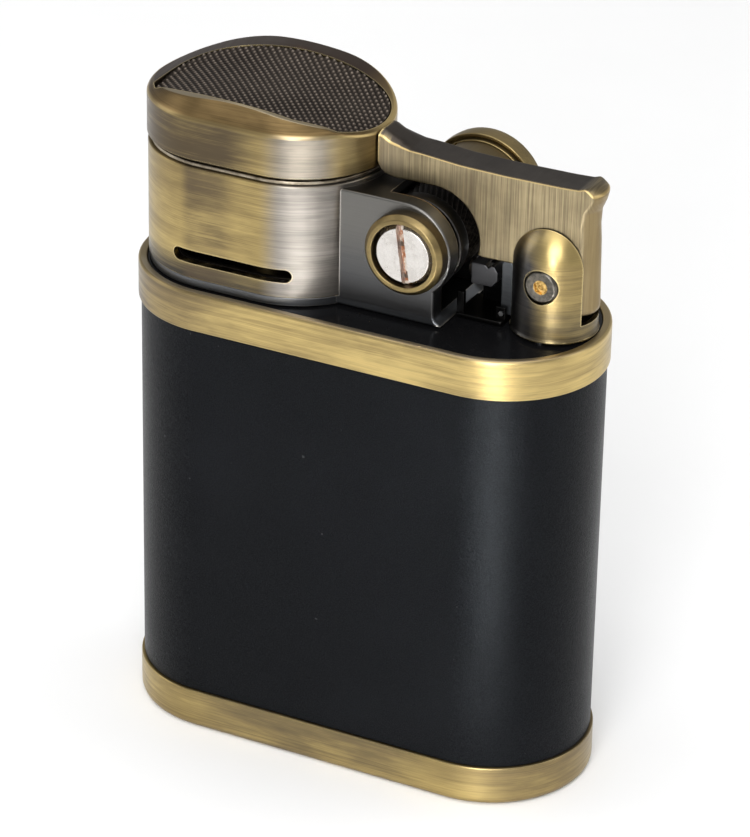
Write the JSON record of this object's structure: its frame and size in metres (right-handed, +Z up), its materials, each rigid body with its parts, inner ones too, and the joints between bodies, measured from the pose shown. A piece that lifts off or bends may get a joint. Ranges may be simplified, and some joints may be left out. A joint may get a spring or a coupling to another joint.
{
  "type": "lift-arm petrol lighter",
  "caption": "Pocket petrol lighter with a wrapped brass case, lift-arm cap over the wick chimney and a side striker wheel.",
  "frame": {"origin": "centre of the flat underside of the case", "axes": "+X from the chimney towards the arm's thumb lip, +Y to the back where the thumb wheel stands out, +Z up"},
  "size_m": [0.0434, 0.0203, 0.0609],
  "materials": {
    "antique_brass": "brushed antique brass with dark patina",
    "plain_brass": "turned brass",
    "gunmetal": "black nickel, satin",
    "black_wrap": "fine-grained satin black wrap",
    "black_enamel": "gloss black",
    "bright_steel": "nickel-plated steel",
    "tank_steel": "drawn steel",
    "cotton": "braided and loose cotton",
    "rubber": "moulded",
    "wheel_steel": "hardened and filed"
  },
  "bodies": {
    "case": {"base_cup": "antique_brass", "tank_shell": "tank_steel", "fuel_wadding": "cotton", "body_sleeve": "black_wrap", "top_band": "antique_brass", "deck_plate": "black_enamel", "wick_tube": "plain_brass", "wick": "cotton", "chimney": "antique_brass", "chimney_liner": "plain_brass", "top_frame": "gunmetal", "front_bush": "plain_brass", "rear_bush": "plain_brass", "arm_post": "antique_brass", "pivot_screw": "bright_steel", "arm_spring": "bright_steel", "post_screw_front": "bright_steel", "post_screw_rear": "bright_steel", "frame_screw_left": "bright_steel", "frame_screw_right": "bright_steel", "flint_bracket": "gunmetal", "lever_pin": "bright_steel"},
    "arm": {"lift_arm": "antique_brass", "cap_shell": "antique_brass", "cap_panel": "gunmetal", "snuffer_cup": "plain_brass", "snuffer_seal": "rubber", "cap_screw": "bright_steel"},
    "striker": {"axle_screw": "bright_steel", "flint_wheel": "wheel_steel", "wheel_cheek_front": "gunmetal", "wheel_cheek_rear": "gunmetal", "thumb_wheel": "antique_brass", "thumb_wheel_cap": "plain_brass"},
    "lever": {"flint_lever": "bright_steel", "flint_holder": "gunmetal", "flint": "wheel_steel", "flint_spring": "bright_steel"},
    "filler": {"filler_plug": "plain_brass", "filler_gasket": "rubber"}
  },
  "joints": [
    {"name": "arm_lift", "type": "hinge", "parent": "case", "child": "arm", "pos_m": [0.0174, 0, 0.0485], "axis": [0, 1, 0], "range_deg": [0, 75]},
    {"name": "striker_spin", "type": "hinge", "parent": "case", "child": "striker", "pos_m": [0.0059, 0, 0.0499], "axis": [0, 1, 0], "continuous": true},
    {"name": "lever_swing", "type": "hinge", "parent": "case", "child": "lever", "pos_m": [0.01295, 0, 0.0442], "axis": [0, 1, 0], "range_deg": [0, 10]},
    {"name": "filler_turn", "type": "hinge", "parent": "case", "child": "filler", "pos_m": [0.008, 0, 0.001], "axis": [0, 0, 1], "range_deg": [0, 1080]}
  ]
}
